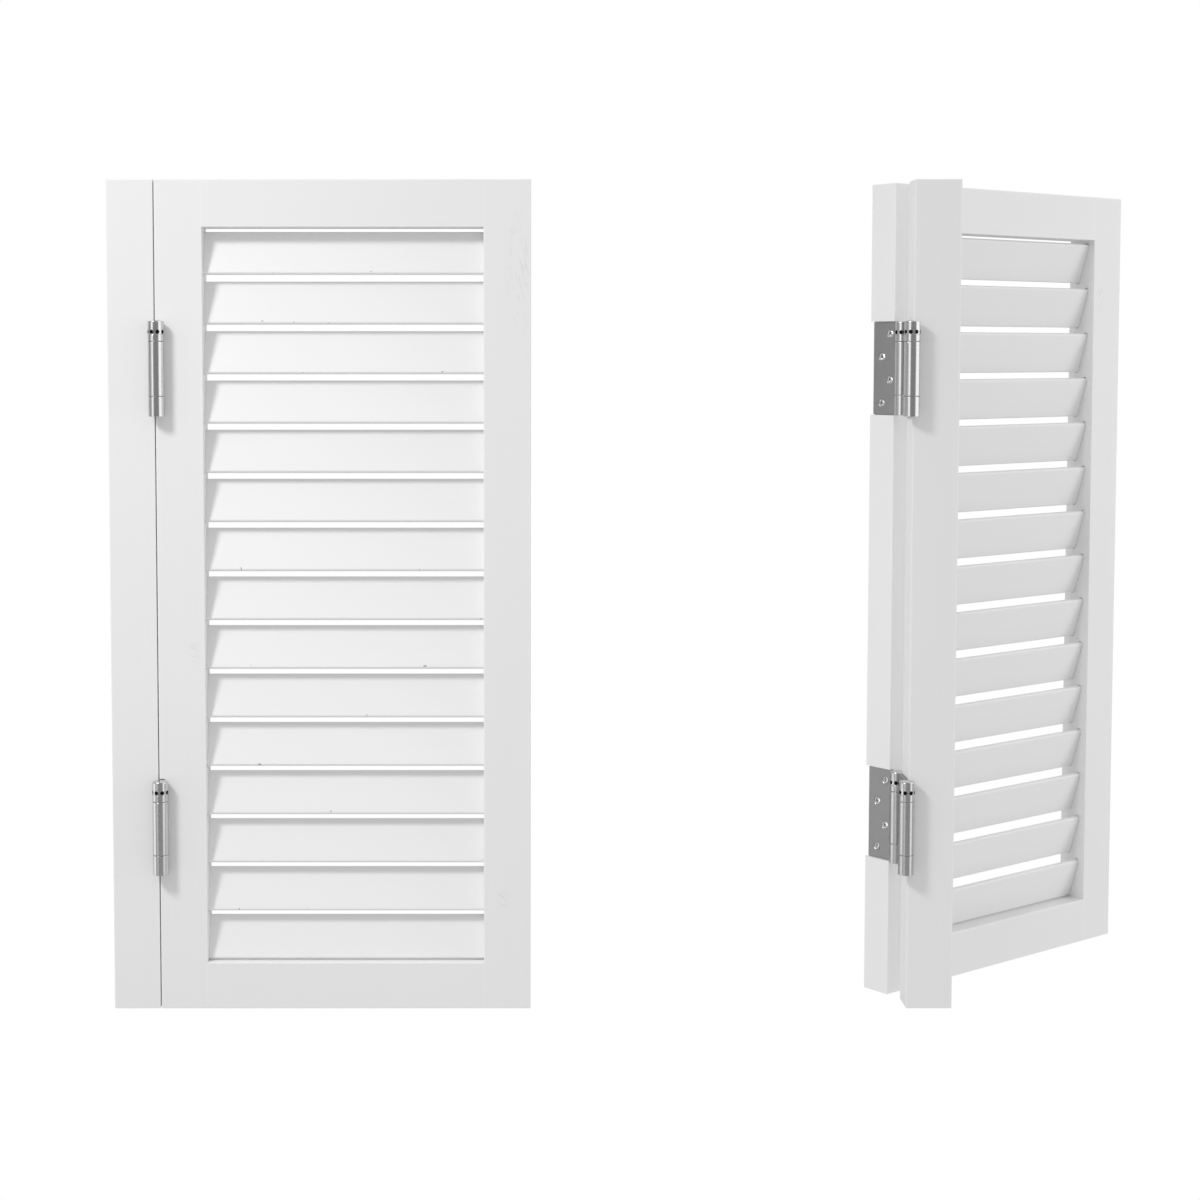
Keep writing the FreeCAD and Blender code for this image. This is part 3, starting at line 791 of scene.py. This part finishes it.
studio = {
    "floorHeight": -1.70,
    "floorRadius": 5.0,
    "floorClear": 1.2,         # from here on the floor fades into the background
    "floorFaded": 2.4,
    "floorSides": 64,
    "floorLevel": 0.80,
    "floorGrain": 0.03,        # how much paler its palest grain is
    "grainScale": 40.0,
    "fill": 0.64,              # brightness that matt surfaces get from all round
    "bandStrength": 1.6,
    "bandsLevel": -0.04,       # sine of the angle to the horizon down to which the level bands reach
    "bandsLow": -0.20,         # and from which on the low bands take over
}
lamps = {
    "keyLight": {"place": (-0.86, -1.30, 1.55), "aim": (0.7, 0.0, -0.8), "size": 0.5, "power": 7.1,
                 "spread": math.radians(90), "inGloss": True},
    "sideLight": {"place": (3.9, -0.25, 0.25), "aim": (0.95, 0.05, 0.0), "size": 1.8, "power": 23.2,
                  "spread": math.pi, "inGloss": False},  # the studio's bands already show there
}
# what gloss reflects: bearing seen from the doors, where 0 is the front and minus the left, and brightness
levelBands = [
    (-180, 0.40), (-112, 0.40), (-104, 0.20), (-80, 0.20), (-72, 0.42), (-58, 0.42), (-54, 1.0), (-36, 1.0),
    (-30, 0.19), (46, 0.19), (52, 0.95), (126, 0.95), (132, 0.40), (180, 0.40),
]
lowBands = [
    (-180, 0.14), (-140, 0.20), (-112, 0.28), (-102, 0.95), (-76, 0.95), (-66, 0.26), (-46, 0.26), (-40, 0.52),
    (-32, 0.52), (-26, 0.20), (38, 0.20), (48, 0.80), (66, 0.80), (76, 0.28), (140, 0.20), (180, 0.14),
]


def makeFloor():
    mesh = bpy.data.meshes.new("floor")
    count, radius = studio["floorSides"], studio["floorRadius"]
    centre = (openingWidth / 2, 0.0, studio["floorHeight"])
    points, triangles = [centre], []
    for i in range(count):
        angle = fullTurn * i / count
        points.append((math.cos(angle) * radius + centre[0], math.sin(angle) * radius, centre[2]))
        triangles.append((0, i + 1, (i + 1) % count + 1))
    mesh.from_pydata(points, [], triangles)
    floor = bpy.data.objects.new("floor", mesh)
    bpy.context.scene.collection.objects.link(floor)
    material = bpy.data.materials.new("paleFloor")
    material.use_nodes = True
    tree = material.node_tree
    tree.nodes.clear()
    place = addNode(tree, "ShaderNodeTexCoord").outputs["Object"]
    away = vectorCalc(tree, "DISTANCE", place, centre)
    fade = ramp(tree, away, studio["floorClear"], studio["floorFaded"])
    grain = noise(tree, place, studio["grainScale"], detail=4.0)
    level = calc(tree, "MULTIPLY_ADD", grain, studio["floorGrain"], studio["floorLevel"])
    matt = addNode(tree, "ShaderNodeBsdfDiffuse", {"Color": grey(tree, level)}).outputs[0]
    white = addNode(tree, "ShaderNodeEmission", {"Color": (1, 1, 1, 1), "Strength": 1.0}).outputs[0]
    seen = calc(tree, "MULTIPLY", fade, addNode(tree, "ShaderNodeLightPath").outputs["Is Camera Ray"])
    addNode(tree, "ShaderNodeOutputMaterial", {"Surface": mixShaders(tree, seen, matt, white)})
    mesh.materials.append(material)


def bandRamp(tree, share, bands):
    node = addNode(tree, "ShaderNodeValToRGB", {0: share})
    elements = node.color_ramp.elements
    while len(elements) < len(bands):
        elements.new(0.5)
    for element, (degrees, level) in zip(elements, bands):
        element.position = (degrees + 180) / 360
        element.color = (level, level, level, 1)
    return node.outputs[0]


def makeWorld():
    world = bpy.data.worlds.new("studio")
    bpy.context.scene.world = world
    world.use_nodes = True
    world.cycles.sampling_method = "NONE"  # the bands stay out of the fill light
    tree = world.node_tree
    tree.nodes.clear()
    toward = axes(tree, addNode(tree, "ShaderNodeTexCoord").outputs["Generated"])
    bearing = calc(tree, "ARCTAN2", toward["X"], calc(tree, "MULTIPLY", toward["Y"], -1.0))
    share = calc(tree, "MULTIPLY_ADD", bearing, 0.5 / math.pi, 0.5)
    lowShare = ramp(tree, toward["Z"], studio["bandsLow"], studio["bandsLevel"], 1.0, 0.0)
    bands = addNode(tree, "ShaderNodeMix", {0: lowShare, 2: bandRamp(tree, share, levelBands),
                                            3: bandRamp(tree, share, lowBands)}).outputs[0]

    def background(strength, colour=(1, 1, 1, 1)):
        return addNode(tree, "ShaderNodeBackground", {"Color": colour, "Strength": strength}).outputs[0]

    path = addNode(tree, "ShaderNodeLightPath").outputs
    unseen = mixShaders(tree, path["Is Glossy Ray"], background(studio["fill"]),
                        background(studio["bandStrength"], bands))
    whole = mixShaders(tree, path["Is Camera Ray"], unseen, background(1.0))
    addNode(tree, "ShaderNodeOutputWorld", {"Surface": whole})


def makeLamp(name, place, aim, size, power, spread, inGloss):
    data = bpy.data.lights.new(name, "AREA")
    data.shape = "DISK"
    data.size = size
    data.energy = power
    data.spread = spread
    lamp = bpy.data.objects.new(name, data)
    lamp.location = place
    lamp.rotation_euler = (Vector(place) - Vector(aim)).to_track_quat("Z", "Y").to_euler()
    lamp.visible_camera = False
    lamp.visible_glossy = inGloss
    bpy.context.scene.collection.objects.link(lamp)


view = {
    "place": (0.425, -2.29, 0.265),
    "pitch": math.radians(-3.6),
    "focal": 63.5,             # mm, on a sensor as wide as the next line says
    "sensor": 36.0,
    "shiftX": 0.08,
    "shiftY": -0.095,
}


def makeCamera():
    data = bpy.data.cameras.new("camera")
    data.lens = view["focal"]
    data.sensor_width = view["sensor"]
    data.shift_x = view["shiftX"]
    data.shift_y = view["shiftY"]
    camera = bpy.data.objects.new("camera", data)
    camera.location = view["place"]
    camera.rotation_euler = (math.pi / 2 + view["pitch"], 0.0, 0.0)
    bpy.context.scene.collection.objects.link(camera)
    bpy.context.scene.camera = camera


makeFloor()
makeWorld()
for name, values in lamps.items():
    makeLamp(name, **values)
makeCamera()
bpy.context.scene.view_settings.view_transform = "Standard"
print("studio built")
